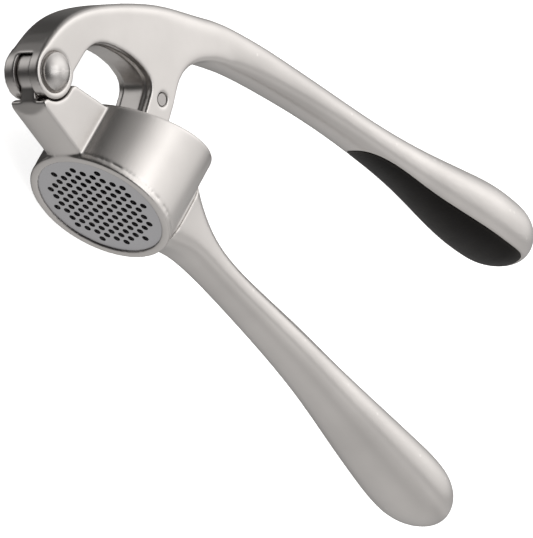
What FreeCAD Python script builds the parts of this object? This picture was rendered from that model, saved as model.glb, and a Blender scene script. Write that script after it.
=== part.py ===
import FreeCAD, Part
import math
import os

# Garlic press lying on its side, millimetres.
# X runs from the hinge to the handle ends, Y from the screen to the mouth of
# the hopper, Z along the hinge pin.  Pieces are drawn about the middle of the
# hopper's bottom ring, and moved at the end so that the origin is the bottom
# centre of the whole press, handles open by REST_OPENING.

V = FreeCAD.Vector
X_AXIS = V(1, 0, 0)
Y_AXIS = V(0, 1, 0)
Z_AXIS = V(0, 0, 1)

# Hopper cup and its bottom ring
BORE_R = 15.0            # bore that takes the plunger
CUP_WALL = 3.1
RING_INSET = 1.1         # bottom ring stands this far inside the cup's side
RING_HEIGHT = 1.4
RING_EDGE_R = 0.5        # rounding of the ring's lower outer edge
CREASE_DEPTH = 0.4       # groove between ring and cup
CREASE_HEIGHT = 0.5
RIM_RISE = 1.6           # rim plane lies this far above the hinge axis
RIM_EDGE_R = 0.8
MOUTH_LEAD = 1.4         # the bore widens by this at its mouth
MOUTH_LEAD_DEPTH = 5.0   # over this depth

# Screen plate crimped into the ring
SCREEN_T = 1.2
LIP_T = 0.5              # crimped lip under the screen
LIP_REACH = 0.6          # how far the lip covers the screen's edge
SCREEN_EDGE = 1.5        # screen reaches this far beyond the bore
HOLE_D = 1.7
HOLE_PITCH = 2.55
HOLE_MARGIN = 0.7        # metal left between the holes and the bore

# Hinge
HINGE_X = -36.3
HINGE_Y = 9.8
FORK_W = 10.4            # width of fork, arch, lobe and neck
CHEEK_T = 3.0            # each side of the fork
CHEEK_R = 6.4            # round ends of the fork
CHEEK_EDGE_R = 1.2       # rounding of the fork's edges
ARCH_EDGE_R = 3.4        # rounding it grows to over the arch
SIDE_GAP = 0.12          # tongue to cheek
CRADLE_GAP = 0.35        # fork end to the hollow in the neck
TONGUE_R = 5.5
SLOT_GAP = 0.45          # tongue end to the floor of the slot
REST_OPENING = 16.7      # handles open from fully squeezed, degrees

# Hinge pin
PIN_D = 5.0
RUNNING_GAP = 0.05       # radial play of a pin in the piece that turns
PIN_HEAD_R = 4.4
PIN_HEAD_SINK = 0.8      # head sits this deep in the cheek
PIN_HEAD_SIDE = 0.4      # gap round the head
PIN_HEAD_STAND = 0.5     # straight edge of the head above the cheek
PIN_HEAD_DOME = 1.8
PIN_TAIL_D = 3.2         # reduced end that the far head is pressed on
PIN_TAIL_L = 1.3

# Neck from hopper to hinge
NECK_TOP_DROP = 1.0      # neck meets the cup this far under the rim
NECK_UNDERSIDE = 1.3     # height of the underside's edges
NECK_CROWN = 1.0         # underside bulges this far below its edges
NECK_NOSE = 0.6          # outer corner stands off the fork's hollow, out and up
NECK_BEVEL = 3.0         # bevel under the outer corner, along the neck
CRADLE_FROM = -72        # the hollow runs between these angles round the pin
CRADLE_MIDDLE = -30
CRADLE_TO = 10
HORN_AT = 18.5           # point of the neck behind the fork
HORN_REACH = 0.9
WEB_FROM = 262           # the tongue's web leaves its eye at these angles
WEB_TO = 62
WEB_FOOT = 6.0           # depth of the web in the neck
WEB_SINK = 1.5           # and behind the hollow

# Shoulder from hopper to lower handle
SEAM_GAP = 0.3           # lower handle's root to the cup's side
SHOULDER_START = 0.55    # share of the cup's radius
SHOULDER_FLARE = 4.0     # grows sideways by this towards the cup
SHOULDER_TALLER = 0.9    # share of the flare that it grows in height
SHOULDER_DROP = 0.5      # share of the flare that its middle sinks
SHOULDER_STEPS = 4

# Plunger and its pivot in the lobe
PIVOT_X = -3.7
PIVOT_Y = 31.0
PLUNGER_PIN_D = 3.0
PLUNGER_PIN_SINK = 0.35  # ends lie under the lobe's faces
PIN_RECESS_D = 3.6
PLUNGER_T = 3.0
PLUNGER_GAP = 0.5        # disc to bore, radial
PLUNGER_LAG = 0.06       # plunger swings back by this share of the handles' turn
SCREEN_GAP = 0.5         # disc to screen when squeezed
STEM_HALF_T = 2.1
STEM_SLOT_GAP = 0.2
STEM_END_R = 2.9
STEM_FOOT = 8.5          # half width of the web where it meets the disc
STEM_TAPER = 0.3         # each side, from the eye to the waist
STEM_CLEAR = 2.0         # web starts to widen this far under the lobe
DISC_EDGE_R = 0.4
BOSS_FOOT_R = 6.5
BOSS_TOP_R = 4.0
BOSS_H = 4.5

# Lobe that carries the plunger
LOBE_HALF = 4.4
LOBE_BELOW = 6.5         # lobe reaches this far past the pivot
LOBE_ABOVE = 5.6         # straight flank above the pivot
LOBE_CORNER = 1.4
POCKET_END_GAP = 0.4
POCKET_FLARE = 0.35

# Arch, its outline given from the hinge
ARCH_CROWN = [(-4.4, 12.7), (4.7, 25.9), (20.3, 40.2), (35.8, 50.6)]
CROWN_HEADING = 34       # direction of the crown where it meets the handle
UNDERSIDE_TURN = 12      # underside of the root, steeper than the handle
UNDERSIDE_REACH = 8.0
UNDERSIDE_DROP = 4.6
ROOT_REACH = 6.0         # arch runs this far into the handle
HEEL_AT = 25             # angles round the hinge of the fork's round end
HEEL_MIDDLE = -80

# Hollow of the arch
HOLLOW_WALL = (4.8, 9.0)
HOLLOW_SHOULDER = (12.3, 19.1)
HOLLOW_CROWN = (20.6, 21.9)
SHOULDER_GROW = (0.75, 0.66)   # shoulder's share of the growth, in X and in Y
LOBE_MEETS = 1.2         # hollow runs into the lobe's flank this far past the pivot
RABBET_W = 1.9           # shallow step along both edges of the hollow
RABBET_D = 0.7

# Handles
LOWER_LENGTH = 137.6
UPPER_LENGTH = 147.0
UPPER_CHORD = 21.3       # direction of the upper handle at rest, degrees
ROOT_TURN = 14           # upper handle's root is steeper than that by this
ROOT_X = 38.3            # root of the upper handle from the hinge
ROOT_Y = 45.6

# Share of length, height of centre, half height, half width, squareness
LOWER_SHAPE = [
    (0.000, 14.7, 10.0, 7.8, 4.0),
    (0.035, 15.3, 7.7, 7.0, 3.6),
    (0.080, 15.7, 5.7, 6.2, 2.9),
    (0.145, 16.2, 4.5, 5.5, 2.4),
    (0.250, 17.8, 4.3, 5.5, 2.25),
    (0.400, 20.6, 5.0, 6.3, 2.2),
    (0.550, 22.7, 5.8, 7.4, 2.2),
    (0.700, 24.4, 7.4, 9.3, 2.15),
    (0.800, 25.6, 8.4, 10.5, 2.15),
    (0.885, 26.7, 8.9, 11.0, 2.15),
]

# Share of length, offset from the chord, half height, half width, squareness
UPPER_SHAPE = [
    (-0.080, -2.6, 3.6, 3.9, 4.5),
    (0.000, 0.0, 5.5, 5.0, 4.0),
    (0.095, 1.7, 5.2, 5.3, 3.0),
    (0.210, 2.2, 4.9, 5.5, 2.4),
    (0.335, 2.1, 4.7, 5.6, 2.2),
    (0.485, 1.4, 4.9, 6.1, 2.2),
    (0.630, 0.7, 6.2, 7.5, 2.2),
    (0.765, -0.1, 8.5, 10.1, 2.15),
    (0.835, -0.5, 9.4, 11.1, 2.15),
    (0.895, -1.0, 9.4, 11.2, 2.15),
]

# Spigot of the hopper in the lower handle's root
TANG_HALF_Y = 4.0
TANG_HALF_Z = 3.5
TANG_L = 7.0
TANG_ROOT = 1.0          # starts this far inside the hopper's shoulder
TANG_GAP = 0.05

# Sections and round ends of both handles
SECTION_POINTS = 32
DOME_STEPS = 7
DOME_END = 0.985         # last section, as a share of the dome's length
DOME_FULLNESS = 0.85     # below 1 the handle ends are blunter than an ellipse

# Grip inlay under the upper handle's end
GRIP_DEPTH = 2.4
GRIP_SEAM = 0.15
GRIP_BELOW = 12.0        # the cut runs this far out under the handle
# Its upper edge: share of length, offset from the chord
GRIP_EDGE = [(0.43, -5.2), (0.478, -2.6), (0.66, -3.9), (0.83, -5.85), (0.935, -6.6), (0.957, -9.3)]

CUP_R = BORE_R + CUP_WALL
RING_R = CUP_R - RING_INSET
SCREEN_R = BORE_R + SCREEN_EDGE
SCREEN_TOP = LIP_T + SCREEN_T
HINGE = V(HINGE_X, HINGE_Y, 0)
PIVOT = V(PIVOT_X, PIVOT_Y, 0)
FORK_HALF = FORK_W / 2
SLOT_HALF = FORK_HALF - CHEEK_T
TONGUE_HALF = SLOT_HALF - SIDE_GAP
CRADLE_R = CHEEK_R + CRADLE_GAP
STEM_SLOT_HALF = STEM_HALF_T + STEM_SLOT_GAP
SEAM_X = CUP_R + SEAM_GAP
UPPER_ROOT = HINGE + V(ROOT_X, ROOT_Y, 0)
TALL = 4 * CUP_R         # beyond every piece it cuts
TOUCH = 0.01             # lengths below this count as none


def heading(degrees):
    """Unit vector in the plane of the press."""
    turn = math.radians(degrees)
    return V(math.cos(turn), math.sin(turn), 0)


def across(direction):
    """Unit vector a quarter turn anticlockwise of direction."""
    return V(-direction.y, direction.x, 0)


def polar(centre, radius, degrees):
    return centre + heading(degrees) * radius


def line(start, end):
    return Part.LineSegment(start, end).toShape()


def arc(start, middle, end):
    return Part.Arc(start, middle, end).toShape()


def curve(points, start_heading, end_heading):
    """Smooth curve through points with set directions at its ends."""
    spline = Part.BSplineCurve()
    spline.interpolate(Points=points, InitialTangent=start_heading, FinalTangent=end_heading)
    return spline.toShape()


def slab(edges, half_thickness):
    """Solid between -half_thickness and +half_thickness in Z."""
    face = Part.Face(Part.Wire(edges))
    face.translate(Z_AXIS * -half_thickness)
    return face.extrude(Z_AXIS * (2 * half_thickness))


def polygon(points):
    return [line(a, b) for a, b in zip(points, points[1:] + points[:1])]


def pin(centre, diameter, low, high):
    """Round bar along Z."""
    base = V(centre.x, centre.y, low)
    return Part.makeCylinder(diameter / 2, high - low, base, Z_AXIS)


def section(centre, forward, half_height, half_width, squareness):
    """Closed outline across a handle: an ellipse with squared shoulders."""
    up = across(forward)
    points = []
    for step in range(SECTION_POINTS):
        turn = 2 * math.pi * step / SECTION_POINTS
        side = math.copysign(abs(math.cos(turn)) ** (2 / squareness), math.cos(turn))
        rise = math.copysign(abs(math.sin(turn)) ** (2 / squareness), math.sin(turn))
        points.append(centre + Z_AXIS * (side * half_width) + up * (rise * half_height))
    knots = [step / SECTION_POINTS for step in range(SECTION_POINTS + 1)]
    outline = Part.BSplineCurve()
    outline.interpolate(Points=points, PeriodicFlag=True, Parameters=knots)
    return Part.Wire(outline.toShape())


def handle(stations, root_heading, dome_length, thinner=0.0):
    """Handle through stations of centre, half height, half width, squareness."""
    centres = [station[0] for station in stations]
    wires = []
    for index, (centre, half_height, half_width, squareness) in enumerate(stations):
        if index == 0:
            forward = root_heading
        elif index == len(stations) - 1:
            forward = (centre - centres[index - 1]).normalize()
        else:
            forward = (centres[index + 1] - centres[index - 1]).normalize()
        tall, wide = half_height - thinner, half_width - thinner
        wires.append(section(centre, forward, tall, wide, squareness))
    for step in range(1, DOME_STEPS + 1):
        turn = math.asin(DOME_END * math.sin(math.pi / 2 * step / DOME_STEPS))
        tip = centre + forward * ((dome_length - thinner) * math.sin(turn))
        share = math.cos(turn) ** DOME_FULLNESS
        wires.append(section(tip, forward, tall * share, wide * share, squareness))
    return Part.makeLoft(wires, True, False)


# --- hopper -------------------------------------------------------------

def rim_cutter(lift=0.0):
    """Everything above the slanting rim, lift further up."""
    up = across(heading(REST_OPENING))
    block = Part.makeBox(2 * TALL, TALL, 2 * TALL, V(-TALL, 0, -TALL))
    block.rotate(V(0, 0, 0), Z_AXIS, REST_OPENING)
    block.translate(HINGE + up * (RIM_RISE + lift))
    return block


def cup():
    """Cup, ring and crease, still closed."""
    ring = Part.makeCylinder(RING_R, RING_HEIGHT, V(0, 0, 0), Y_AXIS)
    lower_edge = [edge for edge in ring.Edges if edge.BoundBox.YMax < RING_HEIGHT / 2]
    ring = ring.makeFillet(RING_EDGE_R, lower_edge)
    wall = Part.makeCylinder(CUP_R, TALL, V(0, 0, 0), Y_AXIS).cut(rim_cutter())
    rim = [edge for edge in wall.Edges if edge.BoundBox.YMin > RING_HEIGHT and edge.isClosed()]
    wall = wall.makeFillet(RIM_EDGE_R, rim[:1])
    groove = Part.makeCylinder(CUP_R + 1, CREASE_HEIGHT, V(0, RING_HEIGHT, 0), Y_AXIS)
    groove = groove.cut(Part.makeCylinder(CUP_R - CREASE_DEPTH, TALL, V(0, 0, 0), Y_AXIS))
    return wall.cut(groove).fuse(ring)


def neck_nose():
    """Outer end of the hollow, and the neck's corner beyond it."""
    front = polar(HINGE, CRADLE_R, CRADLE_FROM)
    return front, V(front.x - NECK_NOSE, NECK_UNDERSIDE + NECK_NOSE, 0)


def neck():
    """Web from the cup to the hinge, hollowed to cradle the fork."""
    bottom = NECK_UNDERSIDE - NECK_CROWN
    inside = -(CUP_R - CUP_WALL / 2)
    rise = (inside - HINGE.x) * math.tan(math.radians(REST_OPENING))
    top = HINGE.y + RIM_RISE + rise - NECK_TOP_DROP
    front, nose = neck_nose()
    back = polar(HINGE, CRADLE_R, CRADLE_TO)
    horn = polar(HINGE, CRADLE_R + HORN_REACH, HORN_AT)
    bevel = V(nose.x + NECK_BEVEL, bottom, 0)
    edges = [
        arc(front, polar(HINGE, CRADLE_R, CRADLE_MIDDLE), back),
        line(back, horn),
        line(horn, V(inside, top, 0)),
        line(V(inside, top, 0), V(inside, bottom, 0)),
        line(V(inside, bottom, 0), bevel),
        line(bevel, nose),
        line(nose, front),
    ]
    crown_r = (FORK_HALF ** 2 + NECK_CROWN ** 2) / (2 * NECK_CROWN)
    crown = Part.makeCylinder(crown_r, TALL, V(-TALL, bottom + crown_r, 0), X_AXIS)
    return slab(edges, FORK_HALF).common(crown)


def tongue():
    """Round eye of the hopper that stands between the cheeks."""
    nose = neck_nose()[1]
    eye = pin(HINGE, 2 * TONGUE_R, -TONGUE_HALF, TONGUE_HALF)
    web = slab(polygon([
        polar(HINGE, TONGUE_R, WEB_FROM),
        nose,
        nose + X_AXIS * WEB_FOOT,
        polar(HINGE, CRADLE_R + WEB_SINK, 0),
        polar(HINGE, TONGUE_R, WEB_TO),
    ]), TONGUE_HALF)
    return eye.fuse(web)


def seam_section(x, grow):
    """Outline shared by the hopper's shoulder and the lower handle's root."""
    centre, half_height, half_width, squareness = lower_stations()[0]
    middle = V(x, centre.y - grow * SHOULDER_DROP, 0)
    tall = half_height + grow * SHOULDER_TALLER
    return section(middle, X_AXIS, tall, half_width + grow, squareness)


def shoulder():
    """Flared block that carries the lower handle."""
    start = SHOULDER_START * CUP_R
    length = SEAM_X - start
    wires = []
    for step in range(SHOULDER_STEPS + 1):
        share = step / SHOULDER_STEPS
        wires.append(seam_section(start + length * share, SHOULDER_FLARE * (1 - share) ** 2))
    block = Part.makeLoft(wires, True, False)
    floor = Part.makeBox(2 * TALL, TALL, 2 * TALL, V(-TALL, RING_HEIGHT / 2 - TALL, -TALL))
    return block.cut(floor).cut(rim_cutter(-NECK_TOP_DROP))


def tang(grow=0.0):
    """Spigot of the hopper inside the lower handle."""
    centre = lower_stations()[0][0]
    half_y, half_z = TANG_HALF_Y + grow, TANG_HALF_Z + grow
    corner = V(SEAM_X - TANG_ROOT, centre.y - half_y, -half_z)
    return Part.makeBox(TANG_ROOT + TANG_L + grow, 2 * half_y, 2 * half_z, corner)


def hopper():
    body = cup().fuse([neck(), tongue(), shoulder()])
    bore = Part.makeCylinder(BORE_R, TALL, V(0, LIP_T, 0), Y_AXIS)
    seat = Part.makeCylinder(SCREEN_R, SCREEN_T, V(0, LIP_T, 0), Y_AXIS)
    opening = Part.makeCylinder(SCREEN_R - LIP_REACH, SCREEN_T, V(0, -SCREEN_T / 2, 0), Y_AXIS)
    body = body.cut([bore, seat, opening, mouth_lead()])
    body = body.cut(pin(HINGE, PIN_D + 2 * RUNNING_GAP, -FORK_W, FORK_W))
    return body.fuse(tang()).removeSplitter()


def mouth_lead():
    """Widening of the bore along its slanting mouth."""
    up = across(heading(REST_OPENING))
    low = HINGE + up * (RIM_RISE - MOUTH_LEAD_DEPTH)
    slope = math.tan(math.radians(REST_OPENING))
    stretch = 1 / math.cos(math.radians(REST_OPENING))
    centre_y = low.y - low.x * slope
    bottom = V(0, centre_y, 0)
    top = V(0, centre_y + 2 * MOUTH_LEAD_DEPTH * stretch, 0)
    wires = []
    for middle, radius in ((bottom, BORE_R), (top, BORE_R + 2 * MOUTH_LEAD)):
        ellipse = Part.Ellipse(V(0, 0, 0), radius * stretch, radius)
        ring = Part.Wire(ellipse.toShape())
        ring.rotate(V(0, 0, 0), X_AXIS, -90)
        ring.rotate(V(0, 0, 0), Z_AXIS, REST_OPENING)
        ring.translate(middle)
        wires.append(ring)
    return Part.makeLoft(wires, True, True)


def screen_plate():
    """Perforated disc, its holes in staggered rows."""
    plate = Part.makeCylinder(SCREEN_R, SCREEN_T, V(0, LIP_T, 0), Y_AXIS)
    reach = BORE_R - HOLE_MARGIN - HOLE_D / 2
    row_pitch = HOLE_PITCH * math.sqrt(3) / 2
    rows = int(reach / row_pitch)
    span = int(reach / HOLE_PITCH) + 1
    holes = []
    for row in range(-rows, rows + 1):
        z = row * row_pitch
        shift = HOLE_PITCH / 2 if row % 2 else 0.0
        for column in range(-span, span + 1):
            x = column * HOLE_PITCH + shift
            if math.hypot(x, z) <= reach:
                foot = V(x, LIP_T - SCREEN_T, z)
                holes.append(Part.makeCylinder(HOLE_D / 2, 3 * SCREEN_T, foot, Y_AXIS))
    return plate.cut(holes)


# --- handles ------------------------------------------------------------

def lower_stations():
    """Stations of LOWER_SHAPE, each with its centre as a point."""
    return [(V(SEAM_X + share * LOWER_LENGTH, y, 0), tall, wide, square)
            for share, y, tall, wide, square in LOWER_SHAPE]


def lower_handle():
    dome_length = (1 - LOWER_SHAPE[-1][0]) * LOWER_LENGTH
    return handle(lower_stations(), X_AXIS, dome_length).cut(tang(TANG_GAP))


def along_upper(share, offset):
    """Point at a share of the upper handle's chord, and off it."""
    along = heading(UPPER_CHORD)
    return UPPER_ROOT + along * (share * UPPER_LENGTH) + across(along) * offset


def upper_bar(thinner=0.0):
    """Upper handle from inside the arch to its end."""
    stations = [(along_upper(share, offset), tall, wide, square)
                for share, offset, tall, wide, square in UPPER_SHAPE]
    dome_length = (1 - UPPER_SHAPE[-1][0]) * UPPER_LENGTH
    return handle(stations, heading(UPPER_CHORD + ROOT_TURN), dome_length, thinner)


def lobe_frame():
    """Directions along the lobe, towards the screen, and across it."""
    down = heading(REST_OPENING - 90)
    return down, across(down)


def lobe_point(along, side):
    down, right = lobe_frame()
    return PIVOT + down * along + right * side


def arch():
    """Flat-sided arch with the fork's round end and the lobe."""
    left = polar(HINGE, CHEEK_R, 180)
    crown = [left] + [HINGE + V(x, y, 0) for x, y in ARCH_CROWN]
    inside = UPPER_ROOT + X_AXIS * ROOT_REACH
    steep = heading(UPPER_CHORD + UNDERSIDE_TURN)
    underside = UPPER_ROOT + steep * UNDERSIDE_REACH - across(steep) * UNDERSIDE_DROP
    flank_top = lobe_point(-LOBE_ABOVE, LOBE_HALF)
    flank_low = lobe_point(LOBE_BELOW - LOBE_CORNER, LOBE_HALF)
    nick = LOBE_CORNER * (1 - math.sqrt(0.5))
    corner = lobe_point(LOBE_BELOW - nick, LOBE_HALF - nick)
    end_right = lobe_point(LOBE_BELOW, LOBE_HALF - LOBE_CORNER)
    end_left = lobe_point(LOBE_BELOW, -LOBE_HALF - RABBET_D)
    heel = polar(HINGE, CHEEK_R, HEEL_AT)
    edges = [
        curve(crown, Y_AXIS, heading(CROWN_HEADING)),
        line(crown[-1], inside),
        line(inside, underside),
        curve([underside, flank_top], steep * -1, lobe_frame()[0]),
        line(flank_top, flank_low),
        arc(flank_low, corner, end_right),
        line(end_right, end_left),
        line(end_left, heel),
        arc(heel, polar(HINGE, CHEEK_R, HEEL_MIDDLE), left),
    ]
    body = slab(edges, FORK_HALF)
    outer = [edge for edge in body.Edges
             if edge.BoundBox.ZLength < TOUCH
             and edge.BoundBox.XMin < left.x + TOUCH
             and edge.BoundBox.YMax > PIVOT.y]
    return body.makeFillet(CHEEK_EDGE_R, ARCH_EDGE_R, outer)


def hollow(grow):
    """Outline of the hollow of the arch that the hopper's rim swings into."""
    floor_left = HINGE + V(HOLLOW_WALL[0] - grow, 0, 0)
    wall_left = floor_left + Y_AXIS * HOLLOW_WALL[1]
    shoulder_x = HOLLOW_SHOULDER[0] - SHOULDER_GROW[0] * grow
    shoulder_y = HOLLOW_SHOULDER[1] + SHOULDER_GROW[1] * grow
    shoulder_left = HINGE + V(shoulder_x, shoulder_y, 0)
    crown = HINGE + V(HOLLOW_CROWN[0], HOLLOW_CROWN[1] + grow, 0)
    lobe_top = lobe_point(LOBE_MEETS, grow - LOBE_HALF)
    lobe_end = lobe_point(2 * LOBE_BELOW, grow - LOBE_HALF)
    return [
        line(floor_left, wall_left),
        curve([wall_left, shoulder_left, crown, lobe_top], Y_AXIS, lobe_frame()[0]),
        line(lobe_top, lobe_end),
        line(lobe_end, floor_left),
    ]


def fork_slot():
    """Gap between the cheeks, open over the tongue and its web."""
    ring = pin(HINGE, 2 * (TONGUE_R + SLOT_GAP), -SLOT_HALF, SLOT_HALF)
    reach = 1.2 * CHEEK_R
    mouth = slab(polygon([
        HINGE,
        HINGE + V(-reach, 0, 0),
        HINGE + V(-reach, -reach, 0),
        HINGE + V(reach, -reach, 0),
        HINGE + V(reach, reach, 0),
    ]), SLOT_HALF)
    return ring.fuse(mouth)


def both_faces(centre, diameter, depth):
    """Round sinkings into both flat faces of the fork or lobe."""
    near = pin(centre, diameter, FORK_HALF - depth, FORK_W)
    far = pin(centre, diameter, -FORK_W, depth - FORK_HALF)
    return [near, far]


def upper_handle():
    body = arch().fuse(upper_bar())
    middle = slab(hollow(-RABBET_D), FORK_W)
    sides = slab(hollow(0.0), FORK_W)
    sides = sides.cut(Part.makeBox(TALL, TALL, FORK_W - 2 * RABBET_W,
                                   V(HINGE.x, HINGE.y - TALL / 2, RABBET_W - FORK_HALF)))
    fork_end = pin(HINGE, 2 * CHEEK_R, -FORK_HALF, FORK_HALF)
    body = body.cut([middle, sides]).fuse(fork_end)
    cutters = [fork_slot(), stem_pocket()]
    cutters.append(pin(HINGE, PIN_D, -FORK_W, FORK_W))
    cutters.append(pin(PIVOT, PLUNGER_PIN_D, -FORK_W, FORK_W))
    cutters += both_faces(HINGE, 2 * (PIN_HEAD_R + PIN_HEAD_SIDE), PIN_HEAD_SINK)
    cutters += both_faces(PIVOT, PIN_RECESS_D, 2 * PLUNGER_PIN_SINK)
    return body.cut(cutters).cut(grip_pocket(0.0)).removeSplitter()


def stem_pocket():
    """Slot in the lobe for the plunger's stem, open at the lobe's end."""
    width = STEM_END_R + POCKET_END_GAP
    foot = width + POCKET_FLARE
    below = LOBE_BELOW + POCKET_END_GAP
    edges = [
        arc(lobe_point(0, width), lobe_point(-width, 0), lobe_point(0, -width)),
        line(lobe_point(0, -width), lobe_point(below, -foot)),
        line(lobe_point(below, -foot), lobe_point(below, foot)),
        line(lobe_point(below, foot), lobe_point(0, width)),
    ]
    return slab(edges, STEM_SLOT_HALF)


def grip_pocket(seam):
    """Region under the upper handle's end that the grip fills."""
    along = heading(UPPER_CHORD)
    off = across(along)
    edge = [along_upper(share, offset - seam) for share, offset in GRIP_EDGE]
    edge[0] += along * seam
    edge[1] += along * seam
    edge[-1] -= along * seam
    start, end = edge[0], edge[-1]
    below = off * -GRIP_BELOW
    edges = [
        curve(edge, along + off, off * -1),
        line(end, end + below),
        line(end + below, start + below),
        line(start + below, start),
    ]
    return slab(edges, TALL).cut(upper_bar(GRIP_DEPTH - seam))


def grip_insert():
    return upper_bar().common(grip_pocket(GRIP_SEAM))


# --- pins and plunger ---------------------------------------------------

def pin_head():
    """Domed head, its flat side down at Z = 0."""
    edge = V(PIN_HEAD_R, 0, PIN_HEAD_SINK + PIN_HEAD_STAND)
    top = V(0, 0, edge.z + PIN_HEAD_DOME)
    radius = (PIN_HEAD_R ** 2 + PIN_HEAD_DOME ** 2) / (2 * PIN_HEAD_DOME)
    middle_r = PIN_HEAD_R / 2
    middle = V(middle_r, 0, top.z - radius + math.sqrt(radius ** 2 - middle_r ** 2))
    edges = [
        line(V(0, 0, 0), V(PIN_HEAD_R, 0, 0)),
        line(V(PIN_HEAD_R, 0, 0), edge),
        arc(edge, middle, top),
        line(top, V(0, 0, 0)),
    ]
    return Part.Face(Part.Wire(edges)).revolve(V(0, 0, 0), Z_AXIS, 360)


def hinge_pin():
    """Pin with the near head formed on it and a thin tail for the far head."""
    face = FORK_HALF - PIN_HEAD_SINK
    head = pin_head()
    head.translate(HINGE + Z_AXIS * face)
    shank = pin(HINGE, PIN_D, -face, face)
    tail = pin(HINGE, PIN_TAIL_D, -face - PIN_TAIL_L, -face)
    return head.fuse([shank, tail]).removeSplitter()


def hinge_pin_cap():
    """Far head, pressed on the pin's tail."""
    face = FORK_HALF - PIN_HEAD_SINK
    head = pin_head()
    head.rotate(V(0, 0, 0), X_AXIS, 180)
    head.translate(HINGE - Z_AXIS * face)
    return head.cut(pin(HINGE, PIN_TAIL_D, -face - PIN_TAIL_L, -face))


def plunger_pin():
    half = FORK_HALF - PLUNGER_PIN_SINK
    return pin(PIVOT, PLUNGER_PIN_D, -half, half)


def squeezed_pivot():
    """Where the plunger's pivot lies when the handles are squeezed."""
    reach = PIVOT - HINGE
    turn = math.radians(-REST_OPENING)
    x = reach.x * math.cos(turn) - reach.y * math.sin(turn)
    y = reach.x * math.sin(turn) + reach.y * math.cos(turn)
    return HINGE + V(x, y, 0)


def plunger():
    """Drawn squeezed, in line with the bore, then swung to where it rests."""
    pivot = squeezed_pivot()
    disc_low = SCREEN_TOP + SCREEN_GAP
    disc_top = disc_low + PLUNGER_T
    disc = Part.makeCylinder(BORE_R - PLUNGER_GAP, PLUNGER_T, V(0, disc_low, 0), Y_AXIS)
    disc = disc.makeFillet(DISC_EDGE_R, [edge for edge in disc.Edges if edge.isClosed()])
    boss = Part.makeCone(BOSS_FOOT_R, BOSS_TOP_R, BOSS_H, V(0, disc_top, 0), Y_AXIS)
    eye = pin(pivot, 2 * STEM_END_R, -STEM_HALF_T, STEM_HALF_T)
    waist = STEM_END_R - STEM_TAPER
    waist_y = pivot.y - LOBE_BELOW - STEM_CLEAR
    web = slab(polygon([
        V(pivot.x - STEM_END_R, pivot.y, 0),
        V(pivot.x - waist, waist_y, 0),
        V(-STEM_FOOT, disc_top, 0),
        V(STEM_FOOT, disc_top, 0),
        V(pivot.x + waist, waist_y, 0),
        V(pivot.x + STEM_END_R, pivot.y, 0),
    ]), STEM_HALF_T)
    body = disc.fuse([boss, eye, web])
    body = body.cut(pin(pivot, PLUNGER_PIN_D + 2 * RUNNING_GAP, -FORK_W, FORK_W)).removeSplitter()
    body.rotate(pivot, Z_AXIS, REST_OPENING * (1 - PLUNGER_LAG))
    body.translate(PIVOT - pivot)
    return body


# --- write --------------------------------------------------------------

NODES = {
    "hopper": hopper,
    "screen_plate": screen_plate,
    "lower_handle": lower_handle,
    "upper_handle": upper_handle,
    "grip_insert": grip_insert,
    "hinge_pin": hinge_pin,
    "hinge_pin_cap": hinge_pin_cap,
    "plunger_pin": plunger_pin,
    "plunger": plunger,
}


def main():
    os.makedirs("parts", exist_ok=True)
    shapes = {name: make() for name, make in NODES.items()}
    box = Part.makeCompound(list(shapes.values())).optimalBoundingBox(False)
    home = V(-(box.XMin + box.XMax) / 2, -(box.YMin + box.YMax) / 2, -box.ZMin)
    for name, shape in shapes.items():
        shape.translate(home)
        shape.exportStep("parts/" + name + ".step")
        print(name, "volume", round(shape.Volume, 1), "valid", shape.isValid(), "solids", len(shape.Solids))
    print("moved by", home, "box", box)


main()
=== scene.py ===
import bpy
from mathutils import Matrix, Vector


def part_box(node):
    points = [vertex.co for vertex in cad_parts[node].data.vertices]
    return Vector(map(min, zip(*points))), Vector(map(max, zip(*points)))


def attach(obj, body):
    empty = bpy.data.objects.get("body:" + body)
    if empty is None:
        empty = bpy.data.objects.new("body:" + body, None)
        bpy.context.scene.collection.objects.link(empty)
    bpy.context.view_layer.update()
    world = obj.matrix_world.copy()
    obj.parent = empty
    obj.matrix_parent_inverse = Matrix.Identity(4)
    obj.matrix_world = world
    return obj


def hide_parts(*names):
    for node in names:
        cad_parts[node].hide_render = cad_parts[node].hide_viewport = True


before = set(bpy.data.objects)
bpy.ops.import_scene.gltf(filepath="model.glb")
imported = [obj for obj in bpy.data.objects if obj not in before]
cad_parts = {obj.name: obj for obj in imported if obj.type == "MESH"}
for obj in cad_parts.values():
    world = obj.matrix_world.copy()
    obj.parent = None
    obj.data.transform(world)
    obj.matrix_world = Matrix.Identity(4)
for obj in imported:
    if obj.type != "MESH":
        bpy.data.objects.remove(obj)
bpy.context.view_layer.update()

MM = 0.001

# --- places taken from the CAD ------------------------------------------

LIP_T = 0.5 * MM                 # the screen lies this far above the ring's lower face
screen_low, screen_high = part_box("screen_plate")
RING_CENTRE = Vector((
    (screen_low[0] + screen_high[0]) / 2,
    screen_low[1] - LIP_T,
    (screen_low[2] + screen_high[2]) / 2,
))


def at(x, y, z=0.0):
    """Point from millimetres about the middle of the ring's lower face."""
    return RING_CENTRE + Vector((x, y, z)) * MM


# --- softened castings --------------------------------------------------

VOXEL = 0.3 * MM
EASE_ROUNDS = 12
EASE_FACTOR = 0.5

# Where the arch flows into the upper handle the skin is eased more.
ARCH_ROOT = at(2.0, 55.4)
BLEND_ROUNDS = 12 * EASE_ROUNDS
BLEND_FULL = 13 * MM             # fully eased out to here
BLEND_FADE = 23 * MM             # and not at all beyond here


def settle(piece):
    """Makes the modifiers' result the mesh itself."""
    deps = bpy.context.evaluated_depsgraph_get()
    done = bpy.data.meshes.new_from_object(piece.evaluated_get(deps))
    piece.modifiers.clear()
    piece.data = done


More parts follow.
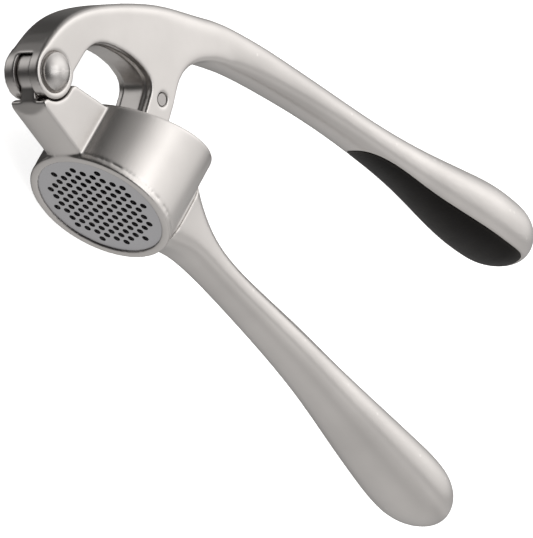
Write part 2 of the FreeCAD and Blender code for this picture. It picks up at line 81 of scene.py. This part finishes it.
def ease(piece, rounds, group=""):
    smooth = piece.modifiers.new("ease", "SMOOTH")
    smooth.factor = EASE_FACTOR
    smooth.iterations = rounds
    smooth.vertex_group = group


def blend(piece, centre):
    """Eases the skin more round centre."""
    zone = piece.vertex_groups.new(name="zone")
    for vertex in piece.data.vertices:
        away = (vertex.co - centre).length
        weight = (BLEND_FADE - away) / (BLEND_FADE - BLEND_FULL)
        if weight > 0:
            zone.add([vertex.index], min(1.0, weight), "REPLACE")
    ease(piece, BLEND_ROUNDS, zone.name)
    settle(piece)
    piece.vertex_groups.clear()


def softened(node, body, blend_at=None):
    """The CAD casting as one even skin, its edges and inner corners eased."""
    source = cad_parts[node].data.copy()
    piece = bpy.data.objects.new(node + "_cast", source)
    bpy.context.scene.collection.objects.link(piece)
    skin = piece.modifiers.new("skin", "REMESH")
    skin.mode = "VOXEL"
    skin.voxel_size = VOXEL
    skin.adaptivity = 0.0
    ease(piece, EASE_ROUNDS)
    settle(piece)
    if blend_at is not None:
        blend(piece, blend_at)
    bpy.data.meshes.remove(source)
    piece.data.shade_smooth()
    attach(piece, body)
    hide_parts(node)
    return piece


# --- material helpers ---------------------------------------------------

def new_material(name):
    material = bpy.data.materials.new(name)
    material.use_nodes = True
    tree = material.node_tree
    tree.nodes.clear()
    shader = tree.nodes.new("ShaderNodeBsdfPrincipled")
    output = tree.nodes.new("ShaderNodeOutputMaterial")
    tree.links.new(shader.outputs["BSDF"], output.inputs["Surface"])
    return material, tree, shader


def place_on_object(tree):
    return tree.nodes.new("ShaderNodeTexCoord").outputs["Object"]


def noise(tree, vector, scale, detail=3.0):
    node = tree.nodes.new("ShaderNodeTexNoise")
    node.inputs["Scale"].default_value = scale
    node.inputs["Detail"].default_value = detail
    tree.links.new(vector, node.inputs["Vector"])
    return node.outputs["Fac"]


def ramp(tree, value, stops):
    """Colour by value; stops run from the lowest position to the highest."""
    node = tree.nodes.new("ShaderNodeValToRGB")
    elements = node.color_ramp.elements
    elements[0].position, elements[0].color = stops[0]
    elements[1].position, elements[1].color = stops[-1]
    for position, color in stops[1:-1]:
        elements.new(position).color = color
    tree.links.new(value, node.inputs["Fac"])
    return node.outputs["Color"]


def ranged(tree, value, low, high):
    node = tree.nodes.new("ShaderNodeMapRange")
    node.inputs["To Min"].default_value = low
    node.inputs["To Max"].default_value = high
    tree.links.new(value, node.inputs["Value"])
    return node.outputs["Result"]


def mixed(tree, factor, first, second):
    """From the colour socket first to the plain colour second."""
    node = tree.nodes.new("ShaderNodeMix")
    node.data_type = "RGBA"
    color_a, color_b = [socket for socket in node.inputs if socket.type == "RGBA"]
    tree.links.new(factor, node.inputs[0])
    tree.links.new(first, color_a)
    color_b.default_value = second
    return [socket for socket in node.outputs if socket.type == "RGBA"][0]


def bump(tree, height, strength, distance, below=None):
    node = tree.nodes.new("ShaderNodeBump")
    node.inputs["Strength"].default_value = strength
    node.inputs["Distance"].default_value = distance
    tree.links.new(height, node.inputs["Height"])
    if below is not None:
        tree.links.new(below, node.inputs["Normal"])
    return node.outputs["Normal"]


def edge_mask(tree, low, high):
    """1 on worn convex edges, 0 elsewhere."""
    geometry = tree.nodes.new("ShaderNodeNewGeometry")
    node = tree.nodes.new("ShaderNodeMapRange")
    node.inputs["From Min"].default_value = low
    node.inputs["From Max"].default_value = high
    tree.links.new(geometry.outputs["Pointiness"], node.inputs["Value"])
    return node.outputs["Result"]


def shaded(tone, share):
    """The tone made lighter or darker, as an opaque colour."""
    return tuple(min(1.0, level * share) for level in tone) + (1,)


# --- materials ----------------------------------------------------------

# Noise scales, in features a metre
METAL_CLOUD = 38.0
METAL_WAVE = 60.0
METAL_PATCH = 110.0
METAL_GRAIN = 2600.0
RUBBER_CLOUD = 70.0
RUBBER_PATCH = 240.0
RUBBER_GRAIN = 1900.0

# Heights of the bumps
METAL_GRAIN_HEIGHT = 0.04 * MM
METAL_WAVE_HEIGHT = 0.6 * MM
RUBBER_GRAIN_HEIGHT = 0.12 * MM

# Pointiness over which a convex edge goes from plain to fully worn
METAL_EDGE = (0.52, 0.60)
RUBBER_EDGE = (0.52, 0.62)

RUBBER_DARK = (0.0032, 0.0026, 0.0021, 1)
RUBBER_LIGHT = (0.0060, 0.0048, 0.0042, 1)
RUBBER_WORN = (0.016, 0.013, 0.011, 1)


def satin_metal(name, tone, rough):
    """Satin-plated casting: fine blasted grain, soft cloudiness, polished edges."""
    material, tree, shader = new_material(name)
    place = place_on_object(tree)
    cloud = noise(tree, place, METAL_CLOUD, 4.0)
    base = ramp(tree, cloud, [(0.35, shaded(tone, 0.93)), (0.65, shaded(tone, 1.04))])
    edge = edge_mask(tree, *METAL_EDGE)
    color = mixed(tree, edge, base, shaded(tone, 1.12))
    tree.links.new(color, shader.inputs["Base Color"])
    shader.inputs["Metallic"].default_value = 1.0
    patch = noise(tree, place, METAL_PATCH)
    tree.links.new(ranged(tree, patch, rough - 0.05, rough + 0.06), shader.inputs["Roughness"])
    grain = bump(tree, noise(tree, place, METAL_GRAIN, 2.0), 0.10, METAL_GRAIN_HEIGHT)
    wave = noise(tree, place, METAL_WAVE, 1.0)
    tree.links.new(bump(tree, wave, 0.02, METAL_WAVE_HEIGHT, grain), shader.inputs["Normal"])
    return material


def grip_rubber(name):
    """Warm near-black soft-touch moulding with a fine spark-eroded texture."""
    material, tree, shader = new_material(name)
    place = place_on_object(tree)
    cloud = noise(tree, place, RUBBER_CLOUD, 4.0)
    base = ramp(tree, cloud, [(0.3, RUBBER_DARK), (0.7, RUBBER_LIGHT)])
    edge = edge_mask(tree, *RUBBER_EDGE)
    color = mixed(tree, edge, base, RUBBER_WORN)
    tree.links.new(color, shader.inputs["Base Color"])
    patch = noise(tree, place, RUBBER_PATCH)
    tree.links.new(ranged(tree, patch, 0.5, 0.66), shader.inputs["Roughness"])
    shader.inputs["Sheen Weight"].default_value = 0.05
    shader.inputs["Sheen Roughness"].default_value = 0.45
    shader.inputs["Specular IOR Level"].default_value = 0.10
    grain = noise(tree, place, RUBBER_GRAIN, 2.0)
    tree.links.new(bump(tree, grain, 0.35, RUBBER_GRAIN_HEIGHT), shader.inputs["Normal"])
    return material


def paint_node(node, material):
    """Gives a CAD node's own material slots the finished material."""
    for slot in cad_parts[node].material_slots:
        slot.material = material


def build_pieces():
    nickel = satin_metal("satin_nickel", (0.57, 0.55, 0.534), 0.30)
    steel = satin_metal("stamped_steel", (0.44, 0.44, 0.453), 0.36)
    turned = satin_metal("turned_pin", (0.50, 0.485, 0.472), 0.27)
    dull = satin_metal("dull_pin", (0.34, 0.326, 0.318), 0.34)
    rubber = grip_rubber("soft_grip")
    castings = [
        softened("hopper", "base"),
        softened("lower_handle", "base"),
        softened("upper_handle", "lever", ARCH_ROOT),
    ]
    for piece in castings:
        piece.data.materials.clear()
        piece.data.materials.append(nickel)
    paint_node("screen_plate", steel)
    paint_node("grip_insert", rubber)
    paint_node("hinge_pin", turned)
    paint_node("hinge_pin_cap", turned)
    paint_node("plunger_pin", dull)
    paint_node("plunger", nickel)


# --- floor --------------------------------------------------------------

FLOOR_HALF = 3.0
FLOOR_DROP = 0.2 * MM            # keeps the floor clear of the lowest faces
PAPER_DARK = (0.93, 0.93, 0.93, 1)
PAPER_LIGHT = (0.95, 0.95, 0.95, 1)
PAPER_CLOUD = 3.0
PAPER_GLOW = 0.8


def floor():
    """White paper that doesn't show in the metal."""
    mesh = bpy.data.meshes.new("floor")
    corners = [(-1, -1), (1, -1), (1, 1), (-1, 1)]
    mesh.from_pydata([(x * FLOOR_HALF, y * FLOOR_HALF, 0) for x, y in corners], [], [(0, 1, 2, 3)])
    piece = bpy.data.objects.new("floor", mesh)
    bpy.context.scene.collection.objects.link(piece)
    material, tree, shader = new_material("paper")
    cloud = noise(tree, place_on_object(tree), PAPER_CLOUD, 2.0)
    color = ramp(tree, cloud, [(0.3, PAPER_DARK), (0.7, PAPER_LIGHT)])
    tree.links.new(color, shader.inputs["Base Color"])
    shader.inputs["Roughness"].default_value = 0.9
    shader.inputs["Emission Color"].default_value = (1, 1, 1, 1)
    shader.inputs["Emission Strength"].default_value = PAPER_GLOW
    piece.data.materials.append(material)
    piece.location.z = -FLOOR_DROP
    piece.visible_glossy = False


# --- light --------------------------------------------------------------

# Soft surround: glows round a few directions.  Each level is the cosine of
# the angle from the direction, and how bright the surround is there.
GLOWS = [
    # overhead and behind the mouth of the hopper
    ((0.25, 0.80, 0.55), [(0.22, 0.06), (0.32, 0.20), (0.42, 0.38), (0.55, 0.47), (0.70, 0.58),
                          (0.80, 1.06), (0.90, 1.18), (1.0, 1.85)]),
    # fill on the screen's side
    ((0.70, -0.65, -0.20), [(0.25, 0.0), (0.60, 0.38), (0.80, 0.55), (1.0, 0.68)]),
    # small light over the arch
    ((-0.20, 0.50, 0.84), [(0.86, 0.0), (0.97, 0.50), (1.0, 0.60)]),
    # small light over the handles
    ((0.50, -0.33, 0.80), [(0.78, 0.0), (0.90, 0.12), (0.98, 0.38), (1.0, 0.42)]),
    # bounce from below, beyond the hinge
    ((-0.74, 0.12, -0.66), [(0.84, 0.0), (0.94, 0.50), (1.0, 0.95)]),
]
WARMTH = (1.0, 0.985, 0.972)

TOP_SIZE = 0.8                   # metres, of a square soft light
TOP_POWER = 2.0                  # watts
TOP_OFFSET = Vector((-0.1, 0.1, 1.2))


def vector_math(tree, operation):
    node = tree.nodes.new("ShaderNodeVectorMath")
    node.operation = operation
    return node


def glow(tree, direction, levels):
    """Colour of the surround round one direction."""
    source = tree.nodes.new("ShaderNodeTexCoord")
    facing = vector_math(tree, "DOT_PRODUCT")
    facing.inputs[1].default_value = Vector(direction).normalized()
    tree.links.new(source.outputs["Generated"], facing.inputs[0])
    top = max(level for cosine, level in levels)
    stops = [(cosine, shaded(WARMTH, level / top)) for cosine, level in levels]
    scaled = vector_math(tree, "SCALE")
    scaled.inputs["Scale"].default_value = top
    tree.links.new(ramp(tree, facing.outputs["Value"], stops), scaled.inputs[0])
    return scaled.outputs["Vector"]


def studio():
    world = bpy.data.worlds.new("studio")
    world.use_nodes = True
    tree = world.node_tree
    total = glow(tree, *GLOWS[0])
    for direction, levels in GLOWS[1:]:
        both = vector_math(tree, "ADD")
        tree.links.new(total, both.inputs[0])
        tree.links.new(glow(tree, direction, levels), both.inputs[1])
        total = both.outputs["Vector"]
    tree.links.new(total, tree.nodes["Background"].inputs["Color"])
    bpy.context.scene.world = world


def top_light():
    data = bpy.data.lights.new("top", "AREA")
    data.shape = "RECTANGLE"
    data.size = TOP_SIZE
    data.size_y = TOP_SIZE
    data.energy = TOP_POWER
    target = at(40, 30)
    lamp = bpy.data.objects.new("top", data)
    bpy.context.scene.collection.objects.link(lamp)
    lamp.location = target + TOP_OFFSET
    lamp.rotation_euler = (target - lamp.location).to_track_quat("-Z", "Y").to_euler()


# --- camera -------------------------------------------------------------

IMAGE_WIDTH = 533.0
FOCAL_LENGTH = 3517.0            # in the same units as IMAGE_WIDTH
SENSOR = 36.0                    # the image's width on the sensor, millimetres
EYE = (-470.16, -416.19, 537.38)
RIGHT = Vector((0.46637, 0.39846, 0.78977))
DOWN = Vector((0.64721, -0.76230, 0.00242))
FORWARD = Vector((0.60301, 0.51002, -0.61340))


def camera():
    data = bpy.data.cameras.new("camera")
    data.sensor_width = SENSOR
    data.sensor_fit = "HORIZONTAL"
    data.lens = FOCAL_LENGTH / IMAGE_WIDTH * SENSOR
    data.clip_start = 0.05
    data.clip_end = 20.0
    view = bpy.data.objects.new("camera", data)
    bpy.context.scene.collection.objects.link(view)
    turn = Matrix((RIGHT, -DOWN, -FORWARD)).transposed().to_4x4()
    view.matrix_world = Matrix.Translation(at(*EYE)) @ turn
    bpy.context.scene.camera = view


build_pieces()
floor()
top_light()
studio()
camera()
bpy.context.scene.view_settings.view_transform = "Standard"
